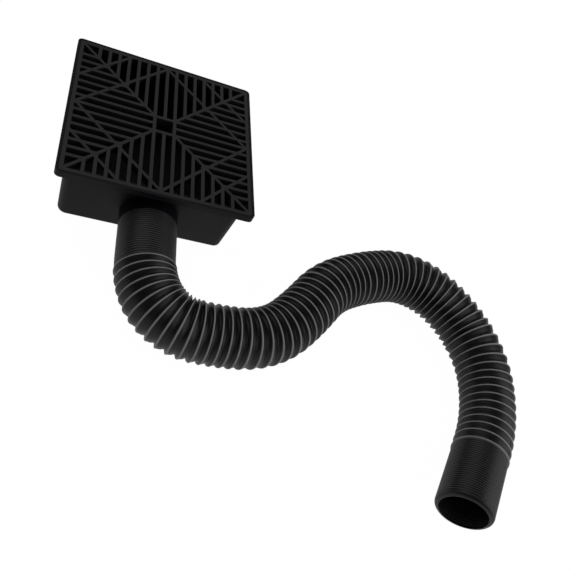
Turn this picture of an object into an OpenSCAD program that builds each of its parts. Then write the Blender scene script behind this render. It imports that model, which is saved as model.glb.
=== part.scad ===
// Flexible downspout extension: a square catch basin with a lift-out grate
// and a bellows drain pipe that keeps the bends it is given.
// Millimetres, +Z up. The origin is on the floor, under the middle of the basin,
// and the pipe leaves the basin towards -Y.

/* [Basin] */
// Outside width of the square flange
flange_w = 305; // [290:1:330]
// Clear height between the top of the pipe and the underside of the flange
headroom = 14; // [10:1:40]
// How far the flange stands out beyond the tub
flange_lip = 12; // [10:0.5:20]
// How far each side of the tub leans in on its way down to the floor
tub_lean = 5; // [3:0.5:12]
// How much further in the outlet wall stands than the other three
outlet_setback = 6.5; // [0:0.5:10]
// Radius of the tub's upright corners
tub_corner_r = 14; // [9:1:24]
// Radius of the tub's bottom edge
tub_edge_r = 7; // [4:0.5:10]
// Thickness of the tub's walls and floor
tub_wall = 3; // [2:0.25:4]
// Thickness of the ledge that carries the grate
ledge_t = 3; // [2:0.5:5]
// Thickness of the upright rim round the grate
rim_t = 4; // [3:0.5:6]
// Radius of the rim's outside corners
rim_corner_r = 8; // [5:1:14]

/* [Grate] */
// Thickness of the grate's border and slats
grate_t = 8; // [5:0.5:12]
// Width of the grate's plain border
grate_border_w = 6; // [4:0.5:12]
// Distance from one slat to the next
slat_pitch = 16.5; // [15.5:0.25:17]
// Width of a slat
slat_w = 5.5; // [3:0.25:7]
// Number of slats on each side of a middle slat
slats_per_side = 7; // [5:1:7]
// Width of the diagonal, diamond and corner ribs
rib_w = 5; // [3:0.25:7]
// How far the diagonal and diamond ribs reach below the slats
rib_drop = 5; // [2:0.5:8]
// Gap all round between the grate and the rim
grate_gap = 0.5; // [0.3:0.1:1]

/* [Pipe] */
// Bore radius of the pipe
bore_r = 40; // [37:0.25:42]
// Height of a fold's crest above the bore
crest_h = 7.5; // [6:0.25:9]
// Height of the bottom of an open fold above the bore
root_h = 1.75; // [1.5:0.25:3]
// Length of the open folds along the middle of the pipe
run_l = 1005; // [850:5:1200]
// Radial thickness of the bellows wall
pipe_wall = 1.5; // [1:0.1:1.6]
// Distance between crests where the folds are pushed shut
shut_pitch = 4; // [3:0.25:5]
// Depth of the groove between two shut folds
shut_groove = 1.75; // [1:0.25:2.5]
// Number of shut folds over the basin's spigot
inlet_folds = 15; // [13:1:22]
// Number of shut folds at the open end
outlet_folds = 30; // [20:1:34]
// Length of the plain cuff at the open end
cuff_l = 10; // [6:1:16]
// Sides of each bellows ring
ring_sides = 20; // [12:4:20]

/* [Outlet] */
// Length of the spigot inside the pipe
spigot_l = 50; // [30:1:70]
// Thickness of the spigot's wall
spigot_wall = 3; // [2:0.25:4]
// Radial clearance between the spigot and the pipe
spigot_gap = 0.3; // [0.2:0.05:0.6]
// How far the edge of the boss lies inside the crests of the pipe that butts against it
boss_inset = 1.5; // [0.5:0.5:4]
// How far the boss stands out from the tub under its flange
boss_proud = 23; // [10:1:30]

/* [Hidden] */
$fn = 96;

// The bellows run, from the shut folds at the basin to those at the open end.
// Each row is a stretch: its share of the run, the turn to the left over it in
// degrees, and how many folds stand open along it.
RUN = [
    [5, 6, 2],
    [9, 20, 3],
    [17, 59, 6],
    [14, 11, 5],
    [19, 38, 6],
    [16, 8, 6],
    [15, -24, 5],
    [19, -12, 7],
    [26, -59, 10],
    [36, -54, 13],
    [25, -24, 8]
];
// Share of a fold taken by its long face, from the crest down to the root
long_face_share = 0.7;
// How deep the bellows is let into the shut folds at each end
bellows_bite = 1;
// Reach of the corner ribs, as a share of the half width of the slots
chord_share = 1.455;
// Sides of the round pieces inside a hull
hull_fn = 32;
// How far a cut runs past the face that it opens
over = 1;
eps = 0.01;

root_r = bore_r + root_h;
crest_r = bore_r + crest_h;
pipe_z = crest_r;
tub_top_w = flange_w - 2 * flange_lip;
tub_base_w = tub_top_w - 2 * tub_lean;
ledge_z = 2 * crest_r + headroom;
grate_z = ledge_z + ledge_t;

grate_half = flange_w / 2 - rim_t - grate_gap;
slot_half = grate_half - grate_border_w;
tub_inner_half = tub_top_w / 2 - tub_wall;
rib_half = tub_inner_half - outlet_setback - 2 * grate_gap;
diamond_reach = slot_half;
chord_reach = slot_half * chord_share;

spigot_r = bore_r - spigot_gap;
boss_r = crest_r - boss_inset;
boss_y = outlet_setback - tub_top_w / 2 - boss_proud;
inlet_l = inlet_folds * shut_pitch;
outlet_l = outlet_folds * shut_pitch + cuff_l;

// A square with round corners, centred
module round_square(w, r) {
    square([w - 2 * r, w], center = true);
    square([w, w - 2 * r], center = true);
    for (x = [-1, 1], y = [-1, 1])
        translate([x * (w / 2 - r), y * (w / 2 - r)]) circle(r);
}

// A bar of the grate along X, between two ends, at a distance y from the middle
module bar(x0, x1, y, w) {
    translate([x0, y - w / 2]) square([x1 - x0, w]);
}

// The slats of one of the grate's four triangular fields, on its +X side
module slat_field() {
    for (k = [-slats_per_side : slats_per_side])
        bar(max(abs(k), 1) * slat_pitch, grate_half - eps, k * slat_pitch, slat_w);
}

// A rib square to the diagonals, whose ends are the given reach from the middle
module cross_rib(reach) {
    rotate(45) translate([reach / sqrt(2) - rib_w / 2, -reach]) square([rib_w, 2 * reach]);
}

// The frame of stiffer ribs: centre ring, four diagonals and the diamond
module main_ribs() {
    difference() {
        square(2 * slat_pitch + slat_w, center = true);
        square(2 * slat_pitch - slat_w, center = true);
    }
    for (q = [0 : 3]) rotate(90 * q) {
        rotate(45) bar(sqrt(2) * slat_pitch, 2 * grate_half, 0, rib_w);
        cross_rib(diamond_reach);
    }
}

// The whole face of the grate inside its border
module lattice() {
    for (q = [0 : 3]) rotate(90 * q) {
        slat_field();
        cross_rib(chord_reach);
    }
    main_ribs();
}

// The lift-out grate, moulded in one piece
module grate() {
    color([0.11, 0.11, 0.115]) {
        translate([0, 0, grate_z]) linear_extrude(grate_t) {
            difference() {
                round_square(2 * grate_half, rim_corner_r - rim_t);
                square(2 * slot_half, center = true);
            }
            intersection() {
                lattice();
                square(2 * slot_half + 2 * eps, center = true);
            }
        }
        translate([0, 0, grate_z - rib_drop]) linear_extrude(rib_drop + eps)
            intersection() {
                main_ribs();
                square(2 * rib_half, center = true);
            }
    }
}

// One corner of the tub as a solid of revolution: a foot with a round edge
module tub_foot(r, edge) {
    rotate_extrude($fn = hull_fn) {
        square([r - edge, edge]);
        intersection() {
            translate([r - edge, edge]) circle(edge, $fn = hull_fn);
            square([r, edge]);
        }
    }
}

// The tapered tub as a solid block, set in from its outside by the given amount
module tub_block(inset, z0, z1) {
    corner = tub_corner_r - inset;
    edge = max(tub_edge_r - inset, 1);
    band = ledge_t / 3;
    base = tub_base_w / 2 - tub_corner_r;
    top = tub_top_w / 2 - tub_corner_r;
    hull() for (x = [-1, 1], y = [-1, 1]) {
        setback = y < 0 ? outlet_setback : 0;
        translate([x * base, y * base + setback, z0]) tub_foot(corner, edge);
        translate([x * top, y * top + setback, z1 - band]) cylinder(r = corner, h = band, $fn = hull_fn);
    }
}

// The catch basin: tub, ledge, rim and outlet, moulded in one piece
module catch_basin() {
    color([0.105, 0.105, 0.11]) difference() {
        union() {
            tub_block(0, 0, ledge_z + ledge_t / 2);
            translate([0, 0, ledge_z]) linear_extrude(ledge_t + grate_t)
                round_square(flange_w, rim_corner_r);
            translate([0, 0, pipe_z]) rotate([90, 0, 0]) {
                cylinder(r = boss_r, h = -boss_y);
                cylinder(r = spigot_r, h = spigot_l - boss_y);
            }
        }
        tub_block(tub_wall, tub_wall, grate_z + over);
        translate([0, 0, grate_z]) linear_extrude(grate_t + over)
            round_square(2 * (grate_half + grate_gap), rim_corner_r - rim_t + grate_gap);
        translate([0, outlet_setback + 2 * tub_edge_r - tub_base_w / 2, pipe_z]) rotate([90, 0, 0])
            cylinder(r = spigot_r - spigot_wall, h = flange_w);
    }
}

// Where the middle of the pipe has got to: x, y and heading, after a length of a
// stretch that starts at the given place and turns steadily
function after(place, length, turn) =
    let (h = place[2], r = turn == 0 ? 0 : length * 180 / (PI * turn))
    turn == 0
        ? [place[0] + length * cos(h), place[1] + length * sin(h), h]
        : [place[0] + r * (sin(h + turn) - sin(h)), place[1] - r * (cos(h + turn) - cos(h)), h + turn];

// The sum of the shares of a run, from row k on
function shares(k = 0) = k < len(RUN) ? RUN[k][0] + shares(k + 1) : 0;

// A place part of the way along stretch k, which starts at place p
function along(p, k, part) = after(p, run_l * RUN[k][0] / shares() * part, RUN[k][1] * part);

INLET = [0, boss_y, -90];
BELLOWS_START = after(INLET, inlet_l, 0);
// The place at the start of each stretch, and after the last one
PLACES = [
    for (k = 0, p = BELLOWS_START; k <= len(RUN); p = k < len(RUN) ? along(p, k, 1) : p, k = k + 1) p
];
BELLOWS_END = PLACES[len(RUN)];

// The bellows rings as [place, outer radius, inner radius]: a root and a crest for
// each fold, with a ring let into the shut folds at each end
RINGS = concat(
    [[after(BELLOWS_START, -bellows_bite, 0), crest_r - 2 * pipe_wall, crest_r - 3 * pipe_wall]],
    [
        for (k = [0 : len(RUN) - 1], f = [0 : RUN[k][2] - 1], side = [0, 1])
            let (last = k == len(RUN) - 1 && f == RUN[k][2] - 1 && side == 1)
            if (!last)
                side == 0
                    ? [along(PLACES[k], k, (f + long_face_share) / RUN[k][2]), root_r, root_r - pipe_wall]
                    : [along(PLACES[k], k, (f + 1) / RUN[k][2]), crest_r, crest_r - pipe_wall]
    ],
    [[after(BELLOWS_END, bellows_bite, 0), crest_r - 2 * pipe_wall, crest_r - 3 * pipe_wall]]
);

// The points of one ring, square to the run
function ring(place, r) = [
    for (i = [0 : ring_sides - 1])
        let (a = 360 * i / ring_sides)
        [place[0] + r * cos(a) * sin(place[2]), place[1] - r * cos(a) * cos(place[2]), pipe_z + r * sin(a)]
];

// The open folds of the pipe: an outer and an inner skin, joined at both ends
module bellows() {
    n = ring_sides;
    rings = len(RINGS);
    points = [for (g = RINGS, skin = [1, 2]) each ring(g[0], g[skin])];
    // The number of a point: its ring, its skin (0 outer, 1 inner) and its place round the ring
    function at(g, skin, i) = (2 * g + skin) * n + i % n;
    faces = [
        for (i = [0 : n - 1]) each [
            for (g = [0 : rings - 2]) each [
                [at(g, 0, i), at(g + 1, 0, i + 1), at(g + 1, 0, i)],
                [at(g, 0, i), at(g, 0, i + 1), at(g + 1, 0, i + 1)],
                [at(g, 1, i), at(g + 1, 1, i), at(g + 1, 1, i + 1)],
                [at(g, 1, i), at(g + 1, 1, i + 1), at(g, 1, i + 1)]
            ],
            [at(0, 0, i), at(0, 1, i + 1), at(0, 0, i + 1)],
            [at(0, 0, i), at(0, 1, i), at(0, 1, i + 1)],
            [at(rings - 1, 0, i), at(rings - 1, 0, i + 1), at(rings - 1, 1, i + 1)],
            [at(rings - 1, 0, i), at(rings - 1, 1, i + 1), at(rings - 1, 1, i)]
        ]
    ];
    polyhedron(points, faces);
}

// Moves a piece whose axis is +Z so that it starts at a place and runs along its heading
module at_place(place) {
    translate([place[0], place[1], pipe_z]) rotate([0, 0, place[2]]) rotate([0, 90, 0]) children();
}

// A length of folds pushed shut: a thick sleeve with a sharp crest at each fold
module shut_folds(count) {
    rotate_extrude() polygon(concat(
        [[bore_r, 0], [crest_r, 0]],
        [
            for (i = [1 : count]) each [
                [crest_r - shut_groove, (i - 1 + long_face_share) * shut_pitch],
                [crest_r, i * shut_pitch]
            ]
        ],
        [[bore_r, count * shut_pitch]]
    ));
}

// The cuff at the open end, drawn in to the bore
module cuff() {
    rotate_extrude() polygon([
        [bore_r, 0],
        [crest_r, 0],
        [crest_r - shut_groove, 0.2 * cuff_l],
        [crest_r - shut_groove, 0.5 * cuff_l],
        [crest_r - 2 * shut_groove, 0.8 * cuff_l],
        [bore_r + pipe_wall, cuff_l],
        [bore_r, cuff_l]
    ]);
}

// The bellows pipe, blown in one piece
module flexible_pipe() {
    color([0.09, 0.09, 0.095]) {
        at_place(INLET) shut_folds(inlet_folds);
        bellows();
        at_place(BELLOWS_END) {
            shut_folds(outlet_folds);
            translate([0, 0, outlet_folds * shut_pitch]) cuff();
        }
    }
}

grate();
catch_basin();
flexible_pipe();
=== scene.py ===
# %% [markdown]
# A flexible downspout extension: a square catch basin with a lift-out grate, and a long
# bellows pipe that carries the roof water away. All of it is black plastic, which shows little
# but its highlights. So this lesson is about three things that make black plastic look real:
# true small shapes that catch the light, a gloss that differs from piece to piece, and lamps
# that are large and soft.

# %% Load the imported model
import math

import bpy
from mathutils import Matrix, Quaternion, Vector


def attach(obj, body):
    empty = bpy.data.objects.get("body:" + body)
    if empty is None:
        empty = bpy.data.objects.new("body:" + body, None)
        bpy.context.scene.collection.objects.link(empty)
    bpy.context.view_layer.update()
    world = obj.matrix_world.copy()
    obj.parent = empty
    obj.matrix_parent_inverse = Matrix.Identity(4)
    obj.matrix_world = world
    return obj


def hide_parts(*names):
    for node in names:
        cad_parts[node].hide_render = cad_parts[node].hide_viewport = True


MM = 0.001

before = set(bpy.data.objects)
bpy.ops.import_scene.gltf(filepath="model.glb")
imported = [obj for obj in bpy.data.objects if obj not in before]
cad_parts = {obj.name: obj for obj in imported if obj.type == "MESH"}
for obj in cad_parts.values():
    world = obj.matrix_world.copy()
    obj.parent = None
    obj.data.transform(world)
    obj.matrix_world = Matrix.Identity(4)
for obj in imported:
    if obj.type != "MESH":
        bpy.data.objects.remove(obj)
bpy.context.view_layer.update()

# %% [markdown]
# The photograph was taken from above, with the camera rolled to one side. A camera is easiest
# to read as the place it stands at, the point it looks at and its roll, so these three and the
# focal length are the only values here. The shift stays at nothing.

# %% Camera
CAMERA_PLACE = Vector((-0.1746, -0.836, 0.8608))
CAMERA_TARGET = Vector((0.2374, -0.2202, 0.05))
CAMERA_ROLL = math.radians(37.9)
CAMERA_LENS = 41.63
SENSOR_WIDTH = 36.0


def make_camera(place, target, roll, lens):
    data = bpy.data.cameras.new("camera")
    data.lens = lens
    data.sensor_width = SENSOR_WIDTH
    camera = bpy.data.objects.new("camera", data)
    bpy.context.scene.collection.objects.link(camera)
    level = (target - place).to_track_quat("-Z", "Y")
    camera.rotation_mode = "QUATERNION"
    camera.rotation_quaternion = level @ Quaternion((0.0, 0.0, 1.0), roll)
    camera.location = place
    bpy.context.scene.camera = camera


make_camera(CAMERA_PLACE, CAMERA_TARGET, CAMERA_ROLL, CAMERA_LENS)
print("camera to target, m:", round((CAMERA_TARGET - CAMERA_PLACE).length, 3))

# %% [markdown]
# A node tree is much shorter to write with two small helpers. The first adds a node, sets its
# properties and its input values, and joins its inputs to other nodes' outputs. The second
# starts a group with its named inputs and outputs.

# %% Helpers for node trees
def add_node(tree, kind, props=None, inputs=None, links=None):
    node = tree.nodes.new(kind)
    for name, value in (props or {}).items():
        setattr(node, name, value)
    for name, value in (inputs or {}).items():
        node.inputs[name].default_value = value
    for name, socket in (links or {}).items():
        tree.links.new(socket, node.inputs[name])
    return node


def new_group(name, kind, sockets):
    tree = bpy.data.node_groups.new(name, kind)
    for label, way, socket_type, value in sockets:
        socket = tree.interface.new_socket(name=label, in_out=way, socket_type=socket_type)
        if value is not None:
            socket.default_value = value
    return tree, tree.nodes.new("NodeGroupInput"), tree.nodes.new("NodeGroupOutput")


# %% [markdown]
# The pipe is blown as one tube with a fold every few millimetres, and it keeps the bends that
# it is given. Its middle line could be a curve drawn by eye, but a chain of steady bends is
# easier to read and to correct, and it is the line of the CAD model. A place on it is found
# from the distance along the pipe alone, so the folds can be set out on their own.

# %% The pipe's middle line
# Lengths are in millimetres, angles in degrees, and a turn to the left is positive.
CREST_R = 47.5
PIPE_Z = CREST_R
# The pipe's start at the basin, as x, y and heading
INLET = (0.0, -157.0, -90.0)
INLET_LENGTH = 60.0
RUN_LENGTH = 1005.0
PIPE_LENGTH = 1195.0
# Each bend's share of the run and its turn
RUN = (
    (5, 6),
    (9, 20),
    (17, 59),
    (14, 11),
    (19, 38),
    (16, 8),
    (15, -24),
    (19, -12),
    (26, -59),
    (36, -54),
    (25, -24),
)


def after(place, length, turn):
    """The place (x, y, heading) after a length of pipe that turns steadily to the left."""
    x, y, heading = place
    start, end = math.radians(heading), math.radians(heading + turn)
    if turn == 0:
        return x + length * math.cos(start), y + length * math.sin(start), heading
    radius = length / (end - start)
    return (
        x + radius * (math.sin(end) - math.sin(start)),
        y - radius * (math.cos(end) - math.cos(start)),
        heading + turn,
    )


def place_at(distance):
    """The place at a distance along the whole pipe, from the basin to the mouth."""
    place = INLET
    shares = sum(share for share, _ in RUN)
    bends = [(INLET_LENGTH, 0)]
    bends += [(share * RUN_LENGTH / shares, turn) for share, turn in RUN]
    for length, turn in bends:
        if distance <= length:
            return after(place, distance, turn * distance / length)
        place = after(place, length, turn)
        distance -= length
    return after(place, distance, 0)


print("mouth of the pipe, mm:", [round(value, 1) for value in place_at(PIPE_LENGTH)])

# %% [markdown]
# Pulled open, a fold is a long cone that falls from a sharp crest to a root, and a short steep
# face that climbs to the next crest. Pushed shut, the folds stack up as fine rings. One fold
# could be repeated along a curve with an array, but then all would be alike. This pipe was bent
# by hand, which spreads its folds unevenly, so every ring gets a distance and a radius of its
# own from the rows below.

# %% The folds
BORE_R = 40.0
PIPE_WALL = 1.5
# Folds that are pushed shut
SHUT_R = 46.0
SHUT_PITCH = 4.0
INLET_FOLDS = 21
OUTLET_FOLDS = 26
# The share of a shut fold's depth that shows as a ripple in the bore
BORE_RIPPLE = 0.6
# Stretches of pulled-open folds: a length of pipe, and the number of folds that share it
OPEN_ROWS = (
    (131, 11),
    (55, 4),
    (60, 4),
    (28, 2),
    (160, 10),
    (40, 3),
    (32, 2),
    (50, 4),
    (160, 10),
    (32, 2),
    (12, 1),
    (56, 3),
    (35, 2),
    (32, 2),
    (117, 7),
)

# %% [markdown]
# A fold's shape is a few rows. Each row gives a share of the fold's length, the depth below the
# crest there, and how much painted highlight the plastic gets there, from 0 to 1. Only the crest
# gets it, as a pale painted line that stands for the highlight its narrow bead catches. It
# rides along as a number on the mesh, for the material to read later.

# %% The shape of a fold and of both ends
OPEN_FOLD = (
    (0.0, 0.15, 1.0),
    (0.05, 0.0, 1.0),
    (0.1, 0.2, 1.0),
    (0.15, 1.1, 0.0),
    (0.28, 1.8, 0.0),
    (0.5, 3.2, 0.0),
    (0.68, 5.6, 0.0),
    (0.78, 5.4, 0.0),
    (0.94, 1.3, 0.0),
)
SHUT_FOLD = (
    (0.0, 0.0, 0.3),
    (0.3, 0.5, 0.0),
    (0.65, 1.7, 0.0),
    (0.85, 1.0, 0.0),
)
# The crest that closes the last open fold, where the rings of the mouth's sleeve begin
LAST_CREST = (
    (0.0, 0.15, 1.0),
    (0.18, 0.0, 1.0),
    (0.36, 0.3, 1.0),
    (0.65, 3.0, 0.0),
    (0.85, 2.4, 0.0),
)
# Both ends are rows of distance, outer radius, inner radius and painted highlight. At each end
# the two radii meet, which closes the wall. The pale tone on the mouth's lip is painted
# highlight too. The mouth's distances are counted back from its edge.
BASIN_EDGE = (-0.02, 40.6, 40.6, 0.0)
MOUTH_EDGE = (
    (7.0, 46.0, 41.0, 0.2),
    (6.2, 44.2, 41.0, 0.0),
    (5.2, 45.7, 41.0, 0.1),
    (3.8, 45.2, 41.0, 0.0),
    (2.2, 43.8, 40.8, 0.0),
    (1.1, 41.6, 40.0, 0.04),
    (0.3, 39.4, 38.9, 0.06),
    (0.0, 38.4, 38.4, 0.25),
)

# %% [markdown]
# With the shapes given, the rings are listed from the basin to the mouth and become a line of
# points. Each point carries its outer radius, its bore and its painted highlight as named
# attributes, so Geometry Nodes can sweep it without any more knowledge of the pipe.

# %% Set out the rings
def stations():
    """Rows of distance, outer radius, inner radius and painted highlight, from the basin to the
    mouth.
    """
    rows = [BASIN_EDGE]

    def open_fold(start, pitch):
        for share, depth, painted_highlight in OPEN_FOLD:
            outer = CREST_R - depth
            rows.append((start + share * pitch, outer, outer - PIPE_WALL, painted_highlight))

    def shut_fold(start, shape, crest_r):
        for share, depth, painted_highlight in shape:
            inner = BORE_R + BORE_RIPPLE * depth
            rows.append((start + share * SHUT_PITCH, crest_r - depth, inner, painted_highlight))

    for k in range(INLET_FOLDS):
        shut_fold(k * SHUT_PITCH, SHUT_FOLD, SHUT_R)
    start = INLET_FOLDS * SHUT_PITCH
    for length, folds in OPEN_ROWS:
        for k in range(folds):
            open_fold(start + k * length / folds, length / folds)
        start += length
    shut_fold(start, LAST_CREST, CREST_R)
    for k in range(1, OUTLET_FOLDS):
        shut_fold(start + k * SHUT_PITCH, SHUT_FOLD, SHUT_R)
    for back, outer, inner, painted_highlight in MOUTH_EDGE:
        rows.append((PIPE_LENGTH - back, outer, inner, painted_highlight))
    return rows


def make_run(rows):
    """The run as a line of points, each with its radii and painted highlight, for the sweep to
    follow.
    """
    points = []
    for distance, _, _, _ in rows:
        x, y, _ = place_at(distance)
        points.append((x * MM, y * MM, PIPE_Z * MM))
    mesh = bpy.data.meshes.new("pipe_run")
    mesh.from_pydata(points, [(i, i + 1) for i in range(len(points) - 1)], [])
    # The fourth column is the painted highlight on the crests, which the pipe's material reads.
    for name, column, scale in (("skin", 1, MM), ("bore", 2, MM), ("painted_highlight", 3, 1.0)):
        attribute = mesh.attributes.new(name, "FLOAT", "POINT")
        attribute.data.foreach_set("value", [row[column] * scale for row in rows])
    run = bpy.data.objects.new("flexible_pipe_skin", mesh)
    bpy.context.scene.collection.objects.link(run)
    return run


rows = stations()
pipe = make_run(rows)
print("rings along the pipe:", len(rows))

# %% [markdown]
# Geometry Nodes sweep a circle along the run twice: once at the outer radius and once at the
# bore, whose faces are then turned to look inwards. The two skins meet at both ends, where
# Merge by Distance closes them into one thin-walled tube. A Solidify modifier could give the
# wall too, but it would trip over the narrow roots of the folds. A circle of 56 sides looks
# round from here, and keeps the pipe under 200,000 triangles.

# %% The tree that sweeps the pipe
PIPE_SIDES = 56
WELD_DISTANCE = 0.00005


def sweep_tree():
    tree, given, made = new_group(
        "sweep_pipe",
        "GeometryNodeTree",
        (
            ("Geometry", "INPUT", "NodeSocketGeometry", None),
            ("Sides", "INPUT", "NodeSocketInt", PIPE_SIDES),
            ("Weld", "INPUT", "NodeSocketFloat", WELD_DISTANCE),
            ("Material", "INPUT", "NodeSocketMaterial", None),
            ("Geometry", "OUTPUT", "NodeSocketGeometry", None),
        ),
    )
    line = add_node(tree, "GeometryNodeMeshToCurve", links={"Mesh": given.outputs["Geometry"]})
    upright = add_node(
        tree,
        "GeometryNodeSetCurveNormal",
        {"mode": "Z_UP"},
        links={"Curve": line.outputs["Curve"]},
    )
    circle = add_node(
        tree,
        "GeometryNodeCurvePrimitiveCircle",
        inputs={"Radius": 1.0},
        links={"Resolution": given.outputs["Sides"]},
    )
    join = tree.nodes.new("GeometryNodeJoinGeometry")
    for name in ("skin", "bore"):
        radius = add_node(
            tree, "GeometryNodeInputNamedAttribute", {"data_type": "FLOAT"}, {"Name": name}
        )
        sized = add_node(
            tree,
            "GeometryNodeSetCurveRadius",
            links={"Curve": upright.outputs["Curve"], "Radius": radius.outputs["Attribute"]},
        )
        tube = add_node(
            tree,
            "GeometryNodeCurveToMesh",
            links={
                "Curve": sized.outputs["Curve"],
                "Profile Curve": circle.outputs["Curve"],
                "Scale": radius.outputs["Attribute"],
            },
        )
        result = tube.outputs["Mesh"]
        if name == "bore":
            turned = add_node(tree, "GeometryNodeFlipFaces", links={"Mesh": result})
            result = turned.outputs["Mesh"]
        tree.links.new(result, join.inputs["Geometry"])
    weld = add_node(
        tree,
        "GeometryNodeMergeByDistance",
        links={"Geometry": join.outputs["Geometry"], "Distance": given.outputs["Weld"]},
    )
    smooth = add_node(
        tree, "GeometryNodeSetShadeSmooth", links={"Geometry": weld.outputs["Geometry"]}
    )
    real = add_node(
        tree, "GeometryNodeRealizeInstances", links={"Geometry": smooth.outputs["Geometry"]}
    )
    paint = add_node(
        tree,
        "GeometryNodeSetMaterial",
        links={"Geometry": real.outputs["Geometry"], "Material": given.outputs["Material"]},
    )
    tree.links.new(paint.outputs["Geometry"], made.inputs["Geometry"])
    return tree


# %% [markdown]
# Moulded plastic is never one flat black. A shader group that all three materials share gives a
# fine grain, a slow change of tone across the piece, and a pale colour mixed in as a painted
# highlight. It puts out a colour, a roughness and a normal, and each material sets how much of
# each it wants.

# %% Shared plastic finish
MOTTLE_SCALE = 14.0
MOTTLE_RANGE = (0.3, 0.7)
GRAIN_DEPTH = 0.0002


def plastic_group():
    tree, given, made = new_group(
        "moulded_plastic",
        "ShaderNodeTree",
        (
            ("Color", "INPUT", "NodeSocketColor", (0.03, 0.03, 0.03, 1.0)),
            # A pale colour, and the share of it that is painted in as a highlight
            ("Painted Highlight Color", "INPUT", "NodeSocketColor", (0.1, 0.1, 0.1, 1.0)),
            ("Painted Highlight Share", "INPUT", "NodeSocketFloat", 0.0),
            ("Roughness", "INPUT", "NodeSocketFloat", 0.5),
            ("Mottle", "INPUT", "NodeSocketFloat", 0.15),
            ("Grain Scale", "INPUT", "NodeSocketFloat", 900.0),
            ("Grain Height", "INPUT", "NodeSocketFloat", 0.1),
            ("Color", "OUTPUT", "NodeSocketColor", None),
            ("Roughness", "OUTPUT", "NodeSocketFloat", None),
            ("Normal", "OUTPUT", "NodeSocketVector", None),
        ),
    )
    place = tree.nodes.new("ShaderNodeTexCoord")
    slow = add_node(
        tree,
        "ShaderNodeTexNoise",
        inputs={"Scale": MOTTLE_SCALE, "Detail": 4.0, "Roughness": 0.55},
        links={"Vector": place.outputs["Object"]},
    )
    grain = add_node(
        tree,
        "ShaderNodeTexNoise",
        inputs={"Detail": 2.0},
        links={"Vector": place.outputs["Object"], "Scale": given.outputs["Grain Scale"]},
    )
    low = add_node(
        tree, "ShaderNodeMath", {"operation": "SUBTRACT"}, {0: 1.0}, {1: given.outputs["Mottle"]}
    )
    high = add_node(
        tree, "ShaderNodeMath", {"operation": "ADD"}, {0: 1.0}, {1: given.outputs["Mottle"]}
    )
    shade = add_node(
        tree,
        "ShaderNodeMapRange",
        inputs={"From Min": MOTTLE_RANGE[0], "From Max": MOTTLE_RANGE[1]},
        links={
            "Value": slow.outputs["Fac"],
            "To Min": low.outputs[0],
            "To Max": high.outputs[0],
        },
    )
    toned = add_node(
        tree,
        "ShaderNodeVectorMath",
        {"operation": "SCALE"},
        links={0: given.outputs["Color"], "Scale": shade.outputs["Result"]},
    )
    # A Mix node set to colours takes them at its inputs 6 and 7, and gives one at output 2.
    # This mix paints the pale highlight colour in, by the painted highlight share.
    highlighted = add_node(
        tree,
        "ShaderNodeMix",
        {"data_type": "RGBA"},
        links={
            "Factor": given.outputs["Painted Highlight Share"],
            6: toned.outputs["Vector"],
            7: given.outputs["Painted Highlight Color"],
        },
    )
    rough = add_node(
        tree,
        "ShaderNodeMath",
        {"operation": "MULTIPLY"},
        links={0: given.outputs["Roughness"], 1: shade.outputs["Result"]},
    )
    bump = add_node(
        tree,
        "ShaderNodeBump",
        inputs={"Distance": GRAIN_DEPTH},
        links={"Strength": given.outputs["Grain Height"], "Height": grain.outputs["Fac"]},
    )
    tree.links.new(highlighted.outputs[2], made.inputs["Color"])
    tree.links.new(rough.outputs[0], made.inputs["Roughness"])
    tree.links.new(bump.outputs["Normal"], made.inputs["Normal"])
    return tree


PLASTIC = plastic_group()
print("shared finish:", PLASTIC.name)

# %% [markdown]
# Each material is a plain Principled shader with the shared finish in front of it. How strongly
# it reflects is the same all over, so that is set on the shader itself. The pipe is the
# glossiest piece and has the least grain. The basin reflects the least. The grate is a greyer
# black with the strongest grain, and its level top catches the light from above.

# %% Materials
def plastic_material(name, values, specular=0.5):
    material = bpy.data.materials.new(name)
    material.use_nodes = True
    tree = material.node_tree
    shader = tree.nodes["Principled BSDF"]
    shader.inputs["Specular IOR Level"].default_value = specular
    finish = add_node(tree, "ShaderNodeGroup", {"node_tree": PLASTIC}, values)
    tree.links.new(finish.outputs["Color"], shader.inputs["Base Color"])
    tree.links.new(finish.outputs["Roughness"], shader.inputs["Roughness"])
    tree.links.new(finish.outputs["Normal"], shader.inputs["Normal"])
    return material, finish


pipe_plastic, pipe_finish = plastic_material(
    "pipe_plastic",
    {
        "Color": (0.0036, 0.0028, 0.004, 1.0),
        # The pale colour painted on the crests and the mouth's lip as a highlight
        "Painted Highlight Color": (0.36, 0.345, 0.365, 1.0),
        "Roughness": 0.4,
        "Mottle": 0.15,
        "Grain Scale": 500.0,
        "Grain Height": 0.04,
    },
    specular=0.36,
)
basin_plastic, _ = plastic_material(
    "basin_plastic",
    {
        "Color": (0.0052, 0.0036, 0.0062, 1.0),
        "Roughness": 0.5,
        "Mottle": 0.08,
        "Grain Scale": 700.0,
        "Grain Height": 0.1,
    },
    specular=0.22,
)
grate_plastic, _ = plastic_material(
    "grate_plastic",
    {
        "Color": (0.0135, 0.0115, 0.0145, 1.0),
        "Roughness": 0.5,
        "Mottle": 0.08,
        "Grain Scale": 900.0,
        "Grain Height": 0.12,
    },
)
print("materials:", pipe_plastic.name, basin_plastic.name, grate_plastic.name)

# %% [markdown]
# The crests get a pale painted highlight, which stands for the light that the narrow bead of
# each crest catches. A pale line could be painted with a texture, but the painted highlight that
# each ring carries lies exactly on the crest, however the pipe bends. One Attribute node brings
# it to the material.

# %% Painted highlight on the crests
painted_highlight_mark = add_node(pipe_plastic.node_tree, "ShaderNodeAttribute", {"attribute_name": "painted_highlight"})
pipe_plastic.node_tree.links.new(painted_highlight_mark.outputs["Fac"], pipe_finish.inputs["Painted Highlight Share"])

# %% [markdown]
# Now the pipe is grown. The tree runs as a modifier, its result is kept as a plain mesh, and the
# modifier is taken off again. The skin stands in for the CAD model's plainer pipe, while the
# basin and the grate keep their CAD shapes and only get a material.

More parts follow.
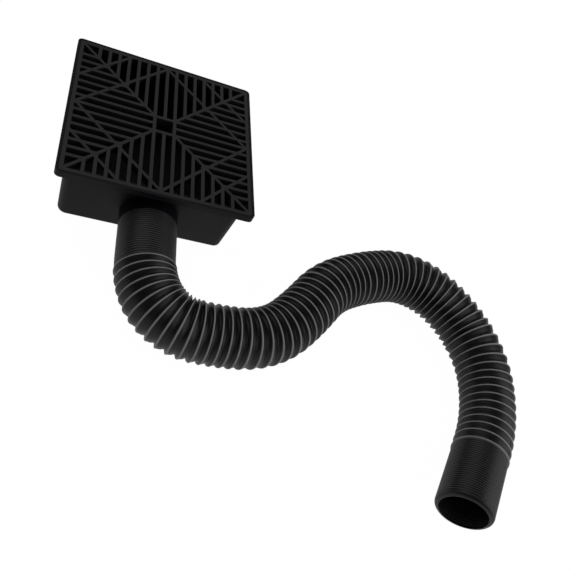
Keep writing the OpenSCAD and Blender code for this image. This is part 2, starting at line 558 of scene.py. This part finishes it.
# %% Grow the pipe and paint the rest
def grow(obj, tree, values):
    """Runs a tree on an object, keeps the result as a plain mesh and removes the modifier."""
    modifier = obj.modifiers.new(tree.name, "NODES")
    modifier.node_group = tree
    for item in tree.interface.items_tree:
        if item.in_out == "INPUT" and item.name in values:
            modifier[item.identifier] = values[item.name]
    bpy.context.view_layer.update()
    evaluated = obj.evaluated_get(bpy.context.evaluated_depsgraph_get())
    mesh = bpy.data.meshes.new_from_object(evaluated)
    obj.modifiers.clear()
    obj.data = mesh


def paint_node(node, material):
    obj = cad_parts[node]
    obj.data.materials.clear()
    obj.data.materials.append(material)


grow(
    pipe,
    sweep_tree(),
    {"Sides": PIPE_SIDES, "Weld": WELD_DISTANCE, "Material": pipe_plastic},
)
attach(pipe, "root")
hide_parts("flexible_pipe")
print("pipe faces:", len(pipe.data.polygons))

paint_node("grate", grate_plastic)
paint_node("catch_basin", basin_plastic)

# %% [markdown]
# The product lies on a plain white floor. Light alone would need to be very strong to make it
# white, and would wash out the black plastic. Instead a Light Path node tells the floor what
# kind of ray meets it. The camera sees plain white with a small share of the real floor, which
# keeps the soft shadow, and the gloss on the plastic sees a pale grey.

# %% Floor
WHITE = (1.0, 1.0, 1.0, 1.0)
FLOOR_HALF = 6.0
# The floor lies just under the product, so that no two faces share a plane.
FLOOR_DROP = 0.0005
FLOOR_COLOR = (0.8, 0.8, 0.8, 1.0)
FLOOR_SEEN = 1.05
FLOOR_SHADOW_SHARE = 0.06
FLOOR_REFLECTED = 0.6


def floor_material():
    material = bpy.data.materials.new("floor_white")
    material.use_nodes = True
    tree = material.node_tree
    tree.nodes.clear()
    output = tree.nodes.new("ShaderNodeOutputMaterial")
    path = tree.nodes.new("ShaderNodeLightPath")
    matt = add_node(tree, "ShaderNodeBsdfDiffuse", inputs={"Color": FLOOR_COLOR})
    seen = add_node(
        tree, "ShaderNodeEmission", inputs={"Color": WHITE, "Strength": FLOOR_SEEN}
    )
    reflected = add_node(
        tree, "ShaderNodeEmission", inputs={"Color": WHITE, "Strength": FLOOR_REFLECTED}
    )
    share = add_node(
        tree,
        "ShaderNodeMath",
        {"operation": "MULTIPLY"},
        inputs={1: 1.0 - FLOOR_SHADOW_SHARE},
        links={0: path.outputs["Is Camera Ray"]},
    )
    mirrored = add_node(
        tree,
        "ShaderNodeMixShader",
        links={0: path.outputs["Is Glossy Ray"], 1: matt.outputs[0], 2: reflected.outputs[0]},
    )
    mix = add_node(
        tree,
        "ShaderNodeMixShader",
        links={0: share.outputs[0], 1: mirrored.outputs[0], 2: seen.outputs[0]},
    )
    tree.links.new(mix.outputs[0], output.inputs["Surface"])
    return material


def make_floor(half):
    mesh = bpy.data.meshes.new("floor")
    corners = [(-half, -half, 0), (half, -half, 0), (half, half, 0), (-half, half, 0)]
    mesh.from_pydata(corners, [], [(0, 1, 2, 3)])
    mesh.materials.append(floor_material())
    floor = bpy.data.objects.new("floor", mesh)
    floor.location.z = -FLOOR_DROP
    bpy.context.scene.collection.objects.link(floor)
    return floor


floor = make_floor(FLOOR_HALF)
print("floor across, m:", 2 * FLOOR_HALF)

# %% [markdown]
# The world is white where the camera sees it past the edge of the floor. As a light it stays
# dim, so that the grooves between the folds and the slots of the grate stay black.

# %% World
WORLD_LIGHT = 0.12


def make_world(strength):
    world = bpy.data.worlds.new("studio")
    world.use_nodes = True
    tree = world.node_tree
    background = tree.nodes["Background"]
    background.inputs["Color"].default_value = WHITE
    path = tree.nodes.new("ShaderNodeLightPath")
    level = add_node(
        tree,
        "ShaderNodeMapRange",
        inputs={"To Min": strength, "To Max": 1.0},
        links={"Value": path.outputs["Is Camera Ray"]},
    )
    tree.links.new(level.outputs["Result"], background.inputs["Strength"])
    bpy.context.scene.world = world


make_world(WORLD_LIGHT)
print("world light:", WORLD_LIGHT)

# %% [markdown]
# Three large lamps make the highlights, and each has one task. One low on the right draws a
# bright band along the pipe. One high at the back left picks out the crest of each fold. One
# behind is reflected by the level top of the grate. They are given as directions from the
# middle of the product, because that is how a highlight is traced back to its lamp.

# %% Lamps
MIDDLE = Vector((0.25, -0.2, 0.05))
LAMP_DISTANCE = 2.0
# Name, direction from the middle, width in metres and power in watts
LAMPS = (
    ("right_lamp", (0.70, -0.50, 0.51), 1.8, 12.0),
    ("back_lamp", (-0.55, 0.34, 0.76), 1.8, 6.0),
    ("top_lamp", (0.15, 0.74, 0.65), 1.3, 1.8),
)


def make_lamp(name, direction, width, power):
    """A square lamp that faces the middle of the product from a given direction."""
    data = bpy.data.lights.new(name, "AREA")
    data.shape = "SQUARE"
    data.size = width
    data.energy = power
    way = Vector(direction).normalized()
    lamp = bpy.data.objects.new(name, data)
    lamp.location = MIDDLE + way * LAMP_DISTANCE
    lamp.rotation_euler = (-way).to_track_quat("-Z", "Y").to_euler()
    bpy.context.scene.collection.objects.link(lamp)


for name, direction, width, power in LAMPS:
    make_lamp(name, direction, width, power)
    print(name, power, "W")

# %% Finish
bpy.context.scene.view_settings.view_transform = "Standard"
